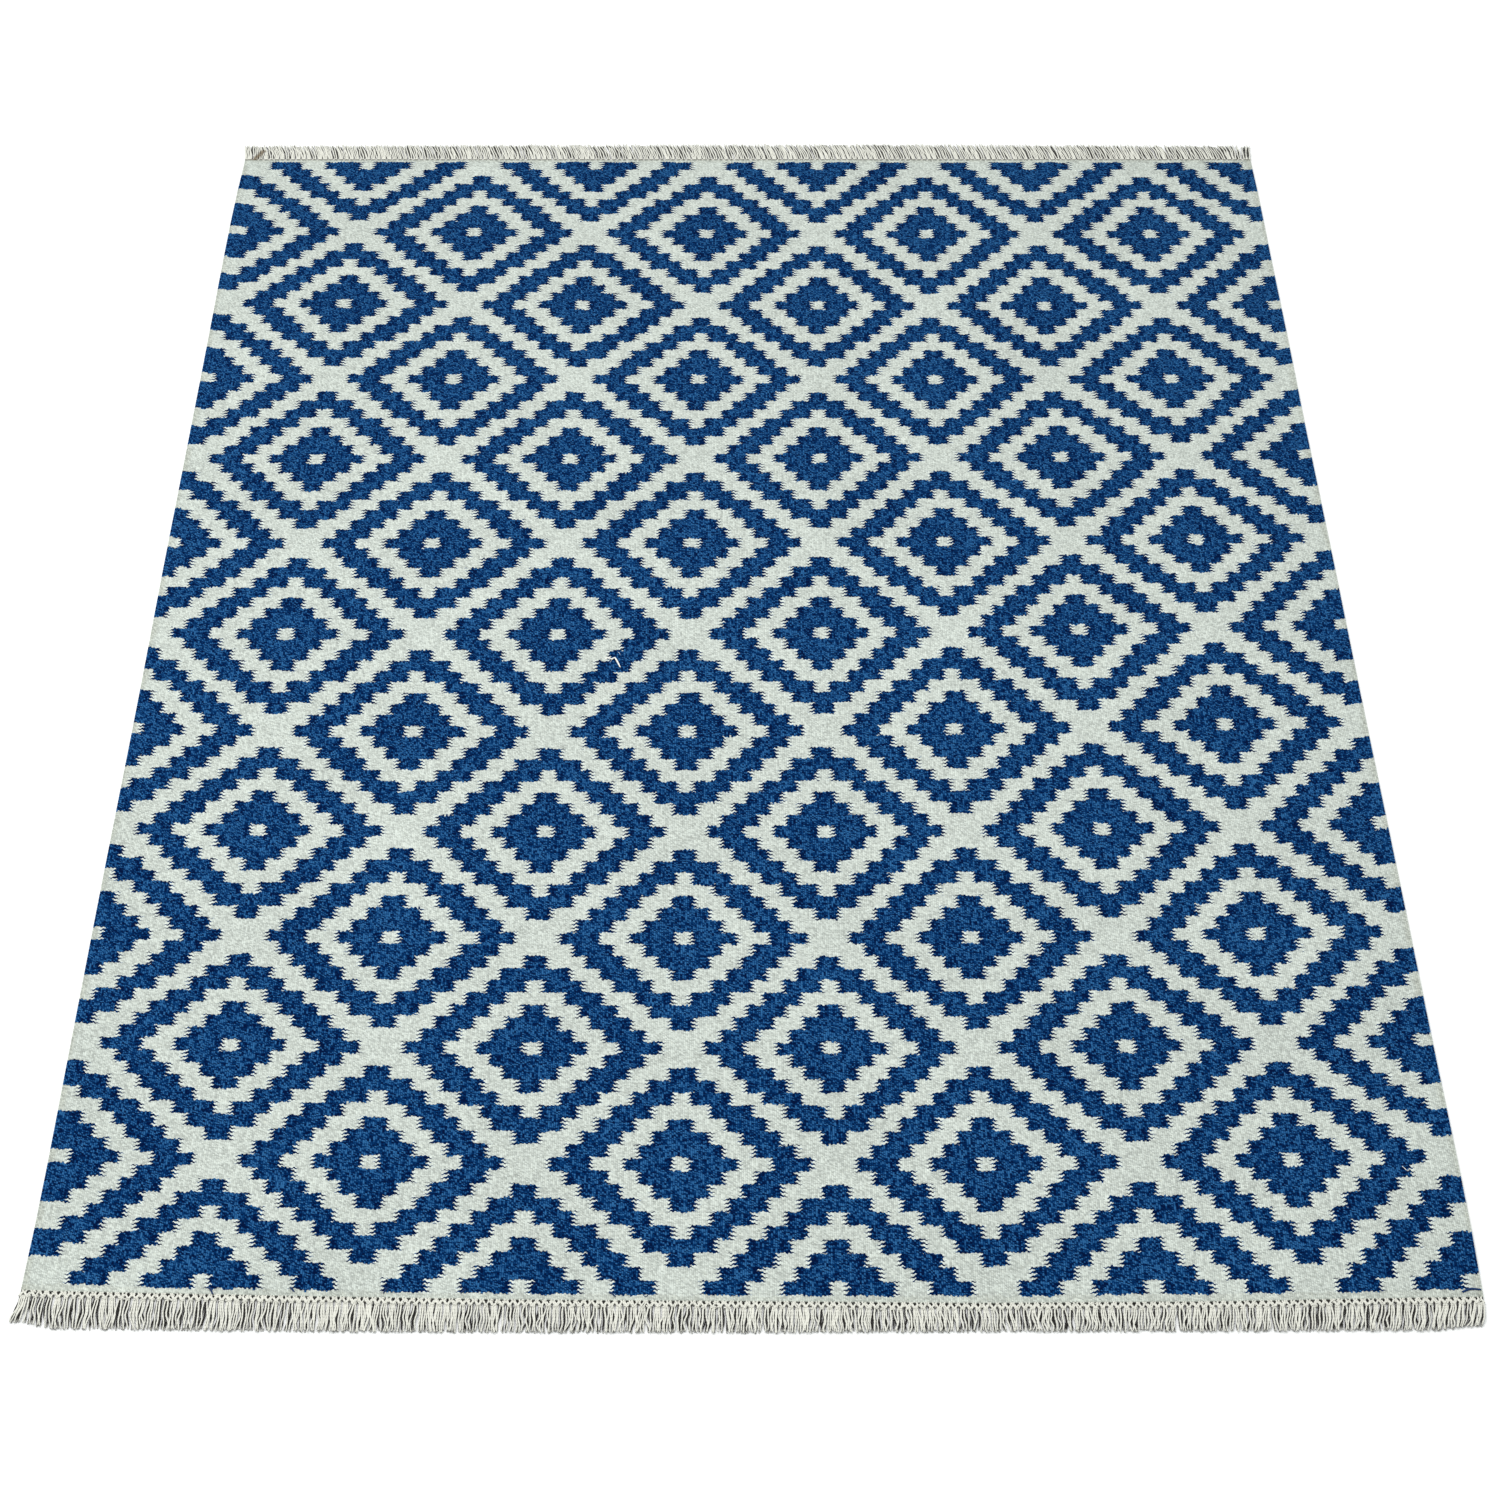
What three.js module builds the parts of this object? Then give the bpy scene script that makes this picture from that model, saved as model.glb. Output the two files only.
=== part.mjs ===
import * as THREE from "three";

// A flat-woven rug, lying flat, with the ends of its warp knotted off and left as a fringe at both ends.
// Millimetres, +Z up. The origin is on the floor under the middle of the rug, and +Y runs to its back end.

// Driving dimensions
const THICKNESS = 4;
const EDGE_ROUNDING = 1.2;
const PARTING = 0.3;
const LOCKS_PER_END = 148;

// The selvedges from the front end to the back end: hand weaving draws them in and lets them out a little.
const SELVEDGES = [
  { y: -1110, left: -798, right: 803 },
  { y: -1020, left: -796.5, right: 805 },
  { y: -760, left: -797.5, right: 804 },
  { y: -460, left: -799, right: 803 },
  { y: -170, left: -799.5, right: 801.5 },
  { y: 130, left: -801.5, right: 801 },
  { y: 420, left: -802.5, right: 799.5 },
  { y: 680, left: -803.5, right: 799.5 },
  { y: 870, left: -805, right: 798.5 },
  { y: 1040, left: -804.5, right: 798.5 },
  { y: 1114, left: -802, right: 797 },
];

// Each end from left to right: where the weaving and the strands stop, and how far the strands lean to the right.
const FRONT_END = [
  { x: -800, woven: -1098, tips: -1141, lean: -5 },
  { x: -760, woven: -1100, tips: -1152, lean: 2 },
  { x: -500, woven: -1106.5, tips: -1155, lean: 0.5 },
  { x: -250, woven: -1111.5, tips: -1158, lean: 0 },
  { x: 0, woven: -1113.5, tips: -1159, lean: -1 },
  { x: 250, woven: -1116, tips: -1157.5, lean: 1 },
  { x: 500, woven: -1114, tips: -1156.5, lean: -3 },
  { x: 750, woven: -1108.5, tips: -1154, lean: -7 },
  { x: 804, woven: -1107.5, tips: -1147, lean: -9 },
];
const BACK_END = [
  { x: -804, woven: 1113.5, tips: 1155, lean: -5 },
  { x: -750, woven: 1113.5, tips: 1156, lean: -5.5 },
  { x: -500, woven: 1113.5, tips: 1157.5, lean: -3 },
  { x: 0, woven: 1113.5, tips: 1159, lean: -1 },
  { x: 250, woven: 1113.5, tips: 1159.5, lean: 0 },
  { x: 500, woven: 1113.5, tips: 1157.5, lean: 3 },
  { x: 800, woven: 1113.5, tips: 1155.5, lean: 5 },
];

// The knotted heading by distance from the weaving: where it starts, the line of the knots, the line of the roots.
const HEADING = {
  start: { out: PARTING, height: 3.8 },
  knots: { out: 5, width: 5.6, height: 5.2, between: 3.4 },
  roots: { out: 10.5, between: 2.6 },
};

// A lock of strands from root to tip: how far along, its width on the floor, its width on top, and its height.
const LOCK = [
  { along: 0, foot: 6.6, top: 4.4, height: 3.6 },
  { along: 0.3, foot: 7.4, top: 4.8, height: 3 },
  { along: 0.7, foot: 8, top: 5, height: 2.7 },
  { along: 1, foot: 6.6, top: 4, height: 2.2 },
];
const LEAN_POWER = 1.5;
const LEAN_SCATTER = 0.6;
const CURL_SCATTER = 0.5;
const LENGTH_SCATTER = 2;
const SCATTER_SEED = 7;

const SELVEDGE_STEPS = 20;
const CLOTH = { color: 0xdedfd2, roughness: 0.95, metalness: 0, flatShading: true };
const FRINGE_YARN = { color: 0xd2d1c2, roughness: 0.95, metalness: 0, flatShading: true };

// One column of a table as a function of another: straight between the rows, or smooth.
function column(table, key, name, Interpolant = THREE.LinearInterpolant) {
  const places = table.map((row) => row[key]);
  const values = table.map((row) => row[name]);
  const spline = new Interpolant(places, values, 1);
  return (place) => spline.evaluate(place)[0];
}

const leftEdge = column(SELVEDGES, "y", "left", THREE.CubicInterpolant);
const rightEdge = column(SELVEDGES, "y", "right", THREE.CubicInterpolant);

// One end of the rug. Side is 1 at the back, -1 at the front. Left and right are the corners of the weaving.
function endOf(table, side) {
  const woven = column(table, "x", "woven");
  const left = leftEdge(woven(0));
  const right = rightEdge(woven(0));
  return {
    side,
    left,
    right,
    woven,
    tips: column(table, "x", "tips"),
    lean: column(table, "x", "lean"),
    stations: [left, ...table.map((row) => row.x).filter((x) => x > left && x < right), right],
  };
}

const front = endOf(FRONT_END, -1);
const back = endOf(BACK_END, 1);

// Woven field: one cloth, its outline taken round by the front end, right selvedge, back end and left selvedge.
function wovenField() {
  const endPoints = (end) => end.stations.map((x) => new THREE.Vector2(x, end.woven(x)));
  const selvedgePoints = (edge, from, to) =>
    Array.from({ length: SELVEDGE_STEPS - 1 }, (_, i) => {
      const y = THREE.MathUtils.lerp(from, to, (i + 1) / SELVEDGE_STEPS);
      return new THREE.Vector2(edge(y), y);
    });
  const outline = new THREE.Shape([
    ...endPoints(front),
    ...selvedgePoints(rightEdge, front.woven(front.right), back.woven(back.right)),
    ...endPoints(back).reverse(),
    ...selvedgePoints(leftEdge, back.woven(back.left), front.woven(front.left)),
  ]);
  const cloth = new THREE.ExtrudeGeometry(outline, {
    depth: THICKNESS - 2 * EDGE_ROUNDING,
    bevelThickness: EDGE_ROUNDING,
    bevelSize: EDGE_ROUNDING,
    bevelOffset: -EDGE_ROUNDING,
    bevelSegments: 2,
  });
  return cloth.translate(0, 0, EDGE_ROUNDING);
}

// Fringe of one end: a knotted heading, and from each of its knots a lock of strands that lies on the floor.
// Places on it are as seen by someone who stands on the rug and faces that end: how far across, from left to
// right, and how far out from the weaving. Each face lists its corners anticlockwise, seen from outside.
function fringe(end) {
  const { side } = end;
  const pitch = (end.right - end.left) / LOCKS_PER_END;
  const leftmost = side > 0 ? end.left : -end.right;
  const positions = [];
  const triangles = [];

  function corner(across, out, z, shift = 0) {
    const x = side * across;
    positions.push(x + shift, end.woven(x) + side * out, z);
    return positions.length / 3 - 1;
  }

  function face(first, ...others) {
    for (let i = 1; i < others.length; i += 1) {
      triangles.push(first, others[i - 1], others[i]);
    }
  }

  // The dip between two knots, from the weaving to the line of the roots.
  function dipAt(across) {
    const { start, knots, roots } = HEADING;
    return {
      startFoot: corner(across, start.out, 0),
      start: corner(across, start.out, start.height),
      knot: corner(across, knots.out, knots.between),
      root: corner(across, roots.out, roots.between),
      rootFoot: corner(across, roots.out, 0),
    };
  }

  // The four corners of a lock at each of its sections. It leans and bends a little as it runs out.
  function lockSections(across) {
    const x = side * across;
    const length = side * (end.tips(x) - end.woven(x)) - HEADING.roots.out + scatter(LENGTH_SCATTER);
    const lean = end.lean(x) + scatter(LEAN_SCATTER);
    const curl = scatter(CURL_SCATTER);
    return LOCK.map(({ along, foot, top, height }) => {
      const out = HEADING.roots.out + along * length;
      const shift = lean * along ** LEAN_POWER + curl * Math.sin(Math.PI * along);
      return [
        corner(across - foot / 2, out, 0, shift),
        corner(across + foot / 2, out, 0, shift),
        corner(across + top / 2, out, height, shift),
        corner(across - top / 2, out, height, shift),
      ];
    });
  }

  function addLock(sections) {
    sections.slice(1).forEach((section, i) => {
      const before = sections[i];
      section.forEach((here, j) => {
        const next = (j + 1) % section.length;
        face(before[j], here, section[next], before[next]);
      });
    });
    face(...sections.at(-1).toReversed());
  }

  // One knot of the heading, between the dips on its two sides and down to the root of its lock.
  function addKnot(across, left, right, [footLeft, footRight, topRight, topLeft]) {
    const { out, width, height } = HEADING.knots;
    const knotLeft = corner(across - width / 2, out, height);
    const knotRight = corner(across + width / 2, out, height);
    face(left.startFoot, right.startFoot, right.start, left.start);
    face(left.start, right.start, knotRight, knotLeft);
    face(left.start, knotLeft, left.knot);
    face(right.start, right.knot, knotRight);
    face(left.knot, knotLeft, topLeft, left.root);
    face(knotLeft, knotRight, topRight, topLeft);
    face(knotRight, right.knot, right.root, topRight);
    face(footLeft, left.rootFoot, left.root, topLeft);
    face(right.rootFoot, footRight, topRight, right.root);
    face(left.startFoot, left.rootFoot, footLeft, footRight, right.rootFoot, right.startFoot);
  }

  const first = dipAt(leftmost);
  face(first.rootFoot, first.startFoot, first.start, first.knot, first.root);
  let left = first;
  for (let i = 0; i < LOCKS_PER_END; i += 1) {
    const across = leftmost + (i + 0.5) * pitch;
    const right = dipAt(across + pitch / 2);
    const sections = lockSections(across);
    addKnot(across, left, right, sections[0]);
    addLock(sections);
    left = right;
  }
  face(left.startFoot, left.rootFoot, left.root, left.knot, left.start);

  const geometry = new THREE.BufferGeometry();
  geometry.setAttribute("position", new THREE.Float32BufferAttribute(positions, 3));
  geometry.setIndex(triangles);
  geometry.computeVertexNormals();
  return geometry;
}

// An even scatter from minus the size to plus the size, the same on every run.
function scatter(size) {
  return size * (2 * THREE.MathUtils.seededRandom() - 1);
}

function piece(name, geometry, finish) {
  const mesh = new THREE.Mesh(geometry, new THREE.MeshStandardMaterial(finish));
  mesh.name = name;
  return mesh;
}

THREE.MathUtils.seededRandom(SCATTER_SEED);
const rug = new THREE.Group();
rug.add(piece("woven_field", wovenField(), CLOTH));
rug.add(piece("front_fringe", fringe(front), FRINGE_YARN));
rug.add(piece("back_fringe", fringe(back), FRINGE_YARN));

export default rug;
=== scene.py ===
"""A flat-woven rug with nested stepped diamonds, and a knotted fringe at both ends.

Lengths are in metres. X runs across the rug, Y towards its back end and Z up. The tables of places are in
millimetres, as they were measured.
"""

import math

import bpy
import numpy as np
from bpy.props import FloatProperty, FloatVectorProperty, IntProperty, PointerProperty
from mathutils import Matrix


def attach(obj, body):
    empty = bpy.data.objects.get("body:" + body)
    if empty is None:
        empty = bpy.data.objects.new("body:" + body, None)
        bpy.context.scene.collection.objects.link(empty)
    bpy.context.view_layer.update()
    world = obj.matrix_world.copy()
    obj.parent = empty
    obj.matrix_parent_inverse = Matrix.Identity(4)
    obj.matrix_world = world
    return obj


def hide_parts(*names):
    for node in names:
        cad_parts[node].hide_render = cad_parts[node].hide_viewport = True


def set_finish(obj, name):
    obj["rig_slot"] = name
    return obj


bl_info = {
    "name": "Flat-woven rug",
    "version": (1, 0, 0),
    "blender": (4, 5, 0),
    "location": "View3D > Sidebar > Rug",
    "description": "Weaves a rug with stepped diamonds and knots the fringes at its two ends",
    "category": "Add Mesh",
}

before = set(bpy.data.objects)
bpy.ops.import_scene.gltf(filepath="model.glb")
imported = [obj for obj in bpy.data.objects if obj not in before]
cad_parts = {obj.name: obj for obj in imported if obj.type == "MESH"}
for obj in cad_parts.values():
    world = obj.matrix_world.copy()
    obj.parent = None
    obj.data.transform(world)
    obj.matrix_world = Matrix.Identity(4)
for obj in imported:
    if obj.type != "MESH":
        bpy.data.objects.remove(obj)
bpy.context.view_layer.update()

MM = 0.001
BODY = "root"

# The weave: weft packed down over the warp, so that each warp thread is a rib along the rug.
WARPS = 682
PICKS_PER_ROW = 16
TEETH_PER_ROW = 3.4
WARPS_PER_LINE = 75
ROWS_PER_LINE = 9
FIRST_ROW = -9.5
LAST_ROW = 99.5
ROW_HEIGHT = 20.4 * MM
HALF_WIDTH = 0.8

# Where the middle of each band of diamonds lies along the rug, in mm. The rows bow, and lie closer together
# towards the front.
ROW_LINES = [
    {"line": -1, "left": 1097.5, "middle": 1096.5, "right": 1096},
    {"line": 0, "left": 919.5, "middle": 910, "right": 910.5},
    {"line": 1, "left": 730, "middle": 722.5, "right": 722.5},
    {"line": 2, "left": 543.5, "middle": 540, "right": 544},
    {"line": 3, "left": 355.5, "middle": 355.5, "right": 364.5},
    {"line": 4, "left": 169, "middle": 170.5, "right": 181},
    {"line": 5, "left": -16.5, "middle": -18, "right": 1},
    {"line": 6, "left": -204, "middle": -209, "right": -188.5},
    {"line": 7, "left": -385, "middle": -392, "right": -377},
    {"line": 8, "left": -565.5, "middle": -574.5, "right": -561.5},
    {"line": 9, "left": -740, "middle": -750.5, "right": -737.5},
    {"line": 10, "left": -910, "middle": -924, "right": -910},
    {"line": 11, "left": -1080.5, "middle": -1097, "right": -1088.5},
]

# Close to the selvedges the rows turn up a little, most of all at the back, and no longer at this line.
SELVEDGE_RISE = 4.3 * MM
SELVEDGE_PULL = 28 * MM
LEVEL_LINE = 12

# Where the middle of each column of diamonds lies across the rug, in mm, at five places from back to front.
COLUMN_PLACES = ("back", "upper", "middle", "lower", "front")
COLUMN_LINES = [
    {"line": -1, "back": -785.5, "upper": -790, "middle": -798.5, "lower": -794, "front": -776},
    {"line": 0, "back": -604.5, "upper": -613, "middle": -618, "lower": -614, "front": -602},
    {"line": 1, "back": -419.5, "upper": -431, "middle": -436.5, "lower": -435, "front": -427.5},
    {"line": 2, "back": -244.5, "upper": -253, "middle": -257, "lower": -256.5, "front": -251.5},
    {"line": 3, "back": -64, "upper": -74, "middle": -79.5, "lower": -80, "front": -75.5},
    {"line": 4, "back": 107.5, "upper": 100, "middle": 96, "lower": 95.5, "front": 99},
    {"line": 5, "back": 275.5, "upper": 270.5, "middle": 268, "lower": 268, "front": 270},
    {"line": 6, "back": 443.5, "upper": 441.5, "middle": 441, "lower": 442, "front": 444.5},
    {"line": 7, "back": 617, "upper": 616.5, "middle": 616.5, "lower": 617, "front": 618},
    {"line": 8, "back": 790, "upper": 791, "middle": 792.5, "lower": 794, "front": 795},
]

# One stepped diamond by rows from its middle: half widths in warps of the blue ring, of the hole in the ring
# and of the blue heart. Where a row has none of a thing, its width is below zero.
NONE = -9
DIAMOND = [
    {"ring": 62.5, "hole": 45, "heart": 26.5},
    {"ring": 55, "hole": 37.5, "heart": 19.5},
    {"ring": 48, "hole": 30.5, "heart": 12.5},
    {"ring": 41, "hole": 23.5, "heart": 5},
    {"ring": 33.5, "hole": 16, "heart": NONE},
    {"ring": 23, "hole": 5.5, "heart": NONE},
    {"ring": 16, "hole": NONE, "heart": NONE},
    {"ring": 5, "hole": NONE, "heart": NONE},
    {"ring": NONE, "hole": NONE, "heart": NONE},
    {"ring": NONE, "hole": NONE, "heart": NONE},
]
DASH = 5.3

# A colour ramp holds the diamond's widths as shares of this span, after this shift.
CHART_SHIFT = 10
CHART_SPAN = 100

# How hand work moves the chart. Rows wander, ripple and sit higher on every other rib, in rows. The sides of
# the steps are off by some warps. Their teeth lean into an arch, narrow to points and differ in size.
ROW_WANDER = 0.24
ROW_RIPPLE = 0.45
RIB_STAGGER = 0.05
STEP_SCATTER = 5.0
TOOTH_ARCH = 0.1
TOOTH_POINT = 1.4
TOOTH_UNEVEN = 3.4
TOOTH_LEAST = -0.7

# Noises of the cloth, by their spots to the metre, and the range over which the swell lifts it.
WANDER_NOISE = 16.0
RIPPLE_NOISE = 110.0
PATCH_NOISE = 6.0
SWELL_NOISE = 2.6
SWELL_RANGE = (0.35, 0.8)

# Noises that run along a line of the weave: how fine they are, and how far apart two lines of the noise lie.
STEP_NOISE = {"along": 0.02, "apart": 5.1}
TOOTH_NOISE = {"along": 0.11, "apart": 7.3}
WEFT_NOISE = {"along": 0.03, "apart": 9.7}

# The slanting loops of weft on the face, and the grain and streaks of its fibres, by ribs and picks.
LOOPS_PER_PICK = 0.7
LOOP_SLANT = 0.5
GRAIN_NOISE = {"rib": 0.9, "pick": -0.35, "rib_aside": 0.08, "pick_aside": 0.12}
STREAK_NOISE = {"rib": 0.9, "pick": 0.09, "layer": 4.0}

# How far from the side of a step its arch and the painted highlight and shade of its teeth reach, and the
# paler band at the selvedge.
ARCH_WIDTH = 2.6
SIDE_LIGHT = (1.5, 4.5)
SELVEDGE_BAND = (1.0, 4.0)
BAND_WANDER = 6
FLECK_GRAIN = (0.06, 0.24)

# What each pattern of the weave adds to the fleck in the cream, to the cream's light and to the blue's light.
# Some add painted shade: in the grooves, at the ends of the loops and on the blue spikes. One adds a painted
# highlight on the cream teeth.
FLECK_PARTS = {"grain_spots": 0.35, "selvedge": 0.3, "end": 0.2}
CREAM_BASE = 1.05
CREAM_PARTS = {"weft": 0.15, "stitch": 0.5, "grain": 0.6, "streak": 0.2, "painted_groove_shade": -0.12,
               "painted_loop_shade": -0.12, "painted_tooth_highlight": 0.24, "patch": 0.16}
BLUE_BASE = 0.25
BLUE_PARTS = {"stitch": 2.9, "grooved_stitch": -1.3, "grain": 1.2, "streak": 0.4, "weft": 0.8,
              "groove": -0.5, "patch": 0.5, "painted_spike_shade": -1.2}

# What darkens the yarn of the fringe: noises by their spots to the metre, their ranges, and
# what each thing adds. Painted shade darkens the yarn between its plies, on its sides that face away
# from up, and on the lower strands under the others. Dust, stain and tone are the yarn's own.
# Last is how far along the yarn one turn of its twist goes.
DUST_NOISE = 700.0
STAIN_NOISE = 30.0
DUST_RANGE = (0.45, 0.75)
STAIN_RANGE = (0.5, 0.8)
LIT_RANGE = (0.0, 0.75)
YARN_BASE = -0.04
YARN_PARTS = {"painted_ply_shade": 0.12, "dust": 0.07, "tone": 0.1, "stain": 0.06, "painted_side_shade": 0.5, "painted_shade": 1}
TWIST_LENGTH = 4.5 * MM

# What raises the bumps of the cloth and the yarn, and plain values of the surfaces by socket.
CLOTH_BUMP = {"strength": 0.9, "depth": 0.4 * MM, "rib": 0.5, "loop": 0.4}
YARN_BUMP = {"strength": 1.0, "depth": 0.5 * MM, "dust": 0.7}
CLOTH_FINISH = {"Roughness": 0.95, "Sheen Weight": 0.005, "Sheen Roughness": 0.6, "Specular IOR Level": 0.02}
YARN_FINISH = {"Roughness": 0.9, "Sheen Weight": 0.15, "Sheen Roughness": 0.5, "Specular IOR Level": 0.25}
FLOOR_FINISH = {"Roughness": 1.0, "Specular IOR Level": 0.0}

# The CAD cloth's rim lies between these heights, its selvedges past this X and its ends past this Y.
RIM_HEIGHTS = (1 * MM, 3 * MM)
SELVEDGE_X = 0.79
END_Y = 1.05

# The rounded rim of the cloth, from its top face to its underside: how far in from the outline, and the
# height as a share of the thickness. At an end both faces are pinched by a share of the thickness.
SELVEDGE_ROUND = [
    {"inset": 0.35 * MM, "height": 0.8},
    {"inset": 0, "height": 0.5},
    {"inset": 0.35 * MM, "height": 0.2},
]
END_ROUND = [
    {"inset": 0, "pinch": 0.16},
    {"inset": 0.4 * MM, "pinch": 0.05},
    {"inset": 1.3 * MM, "pinch": 0},
]

# How unevenly the ribs are spaced, how deep their crests and grooves may lie at most and at least, as shares
# of the relief, and how often the places across are fitted to the selvedges.
CLOTH_SEED = 11
RIB_SPREAD = 0.1
CREST_DEPTH = 0.25
LEAST_GROOVE = 0.75
FIT_ROUNDS = 3

# Each end by places across: how far out the strands reach, and how far their tips lean to the right, in mm.
# The back strands start over their knots, and the painted shade in the gaps between them is lighter.
# The darkening of an end darkens all its strands evenly towards the shade colour.
FRONT_END = {
    "cad_node": "front_fringe", "side": -1, "seed": 3, "knot_girth": 1,
    "root_start": 7 * MM, "root_height": 2.2 * MM, "scatter": 1.75 * MM,
    "curl": 1, "gather": 1, "painted_gap_shade": 1, "darkening": 0, "stoutness": 1,
    "places": [
        {"x": -800, "tips": 1139, "lean": -5},
        {"x": -760, "tips": 1150, "lean": 2},
        {"x": -500, "tips": 1153, "lean": 0.5},
        {"x": -250, "tips": 1154.5, "lean": 0},
        {"x": 0, "tips": 1155, "lean": -1},
        {"x": 250, "tips": 1153.5, "lean": 1},
        {"x": 500, "tips": 1153, "lean": -3},
        {"x": 750, "tips": 1152, "lean": -7},
        {"x": 804, "tips": 1145, "lean": -9},
    ],
}
BACK_END = {
    "cad_node": "back_fringe", "side": 1, "seed": 8, "knot_girth": 0.72,
    "root_start": 0.5 * MM, "root_height": 4.2 * MM, "scatter": 3 * MM,
    "curl": 0.8, "gather": 0.4, "painted_gap_shade": 0.85, "darkening": 0.02, "stoutness": 1.1,
    "places": [
        {"x": -804, "tips": 1155, "lean": -5},
        {"x": -750, "tips": 1156, "lean": -11},
        {"x": -500, "tips": 1157.5, "lean": -11},
        {"x": 0, "tips": 1159, "lean": -11},
        {"x": 250, "tips": 1159.5, "lean": -10},
        {"x": 500, "tips": 1157.5, "lean": -10},
        {"x": 760, "tips": 1156, "lean": -8},
        {"x": 800, "tips": 1155.5, "lean": 5},
    ],
}
KNOTS_PER_ROW = 188

# How the knots differ: how far they are off their places, the size of the first and last, and by chance their
# tone, their turn in radians and their size.
KNOT_OFF_ACROSS = 1.4 * MM
KNOT_OFF_OUT = 1.1 * MM
CORNER_KNOT = 0.85
KNOT_TONES = (0.2, 0.9)
KNOT_TURNS = (-0.8, 0.8)
KNOT_SIZES = (0.8, 1.2)
LOWER_INSET = 0.4

# The legs between the weaving and the knots. Upper ones start tucked into the cloth, lower ones in two lanes.
LEG_TONES = (0.2, 1.0)
LEG_SPREAD = 1.5 * MM
LEG_TUCK = 1 * MM
LEG_HUMP = 0.4 * MM
UPPER_LEG = {"outer": 0.4 * MM, "off": 0.9 * MM, "inward": 0.9 * MM, "height": 2.6 * MM}
LOWER_LEG = {"lanes": (-0.5, 0.5), "off": 0.8, "spread": 0.8, "height": 3 * MM}

# The strands that hang from one knot, from the floor up. Deep ones lie under the others, and their shade is
# painted into their colour.
STRAND_LAYERS = [
    {"fewest": 3, "most": 3, "height": 1.3 * MM, "short": 0.5 * MM, "painted_shade": True},
    {"fewest": 2, "most": 4, "height": 2.7 * MM, "short": 0, "painted_shade": False},
]

# The strands start within this share of a knot's width, stop short of the tips and fan out unevenly.
ROOT_SHARE = 0.58
ROOT_SHORT = 0.75 * MM
FAN_OFF = 0.7 * MM

# What each strand has of its own by chance. The bends are in radians, and a power makes large values rare.
STRAND_TRAITS = [
    {"name": "tone", "least": 0.0, "most": 1.0, "power": 2},
    {"name": "own_curl", "least": -1.0, "most": 1.0, "power": 1},
    {"name": "own_phase", "least": 0.0, "most": 2 * math.pi, "power": 1},
    {"name": "own_turns", "least": 4.0, "most": 11.0, "power": 1},
    {"name": "own_lean", "least": -1.0, "most": 1.0, "power": 3},
    {"name": "own_size", "least": 0.82, "most": 1.08, "power": 1},
]

# Neighbours drift together by a noise across and out, and each strand leans and thins towards its tip.
DRIFT_ACROSS = 62
DRIFT_OUT = 30
DRIFT_SIDE = 3
LEAN_POWER = 1.5
OWN_LEAN = 3 * MM
REST_BEND = 0.35 * MM
TIP_THINNING = 0.35

# Where the deep strands start, and how high.
DEEP_START = 1 * MM
DEEP_HEIGHT = 2.2 * MM

# A browner strand at the back left corner: from where to where, in mm, half its width, and how brown it is.
BROWN_STREAK = {"x": -788, "y": 1113, "to_x": -773, "to_y": 1143, "half_width": 6.5, "share": 0.85}

# Loose ends of weft on the cloth, by their bends in mm.
LOOSE_ENDS = [
    {"weft": "cream", "thick": 2.4, "bends": [(-191, -69), (-187, -67.5), (-181, -70), (-178.5, -66.5),
                                              (-174, -76.5), (-170.5, -86)]},
    {"weft": "cream", "thick": 0.5, "bends": [(-182, -69.5), (-183, -73.5), (-184.5, -76)]},
    {"weft": "cream", "thick": 0.5, "bends": [(-174.5, -55), (-172.5, -57.5), (-170.5, -62)]},
    {"weft": "cream", "thick": 0.9, "bends": [(740.5, -926), (742, -929), (744.5, -932.5), (747, -933)]},
    {"weft": "blue", "thick": 2.4, "bends": [(-593, -1095.5), (-590, -1098), (-586.5, -1105)]},
    {"weft": "blue", "thick": 2.2, "bends": [(-502.5, -1095.5), (-501, -1097.5), (-497.5, -1102)]},
    {"weft": "blue", "thick": 2.2, "bends": [(-395.5, -1096), (-397, -1098), (-400, -1103.5)]},
    {"weft": "blue", "thick": 2, "bends": [(-311, -1098), (-312.5, -1100.5), (-315.5, -1103)]},
    {"weft": "blue", "thick": 2, "bends": [(-153, -1101.5), (-150.5, -1103.5), (-146, -1108.5)]},
    {"weft": "blue", "thick": 1, "bends": [(-115.5, -1106), (-113, -1108.5), (-110.5, -1106)]},
    {"weft": "blue", "thick": 3, "bends": [(780.5, -1102), (786, -1099.5), (791.5, -1098), (801.5, -1099)]},
]

# The stage: the floor's reach, the sky's colour, and the size, place and turn of the large light.
FLOOR_REACH = 30.0
SKY_COLOR = (0.97, 1.0, 1.0, 1.0)
KEY_SIZE = 3
KEY_PLACE = (-1.0, 0.0, 3.6)
KEY_TURN = (math.radians(-3), math.radians(-16), 0)

# How high the loose ends lie, how deep their first points dip into the cloth, and how thin their last get.
LOOSE_HEIGHT = 4.5 * MM
LOOSE_DIP = 0.8 * MM
LOOSE_TAPER = 0.7


def srgb(red, green, blue):
    """A colour of 0 to 255 a channel, as Blender's linear colour with full alpha."""
    def linear(value):
        share = value / 255
        return share / 12.92 if share <= 0.04045 else ((share + 0.055) / 1.055) ** 2.4
    return (linear(red), linear(green), linear(blue), 1.0)


def color_property(name, description, color):
    return FloatVectorProperty(name=name, description=description, subtype="COLOR", size=4,
                               min=0, max=1, default=color)


def length_property(name, description, length):
    return FloatProperty(name=name, description=description, default=length, min=0,
                         unit="LENGTH", precision=5)


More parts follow.
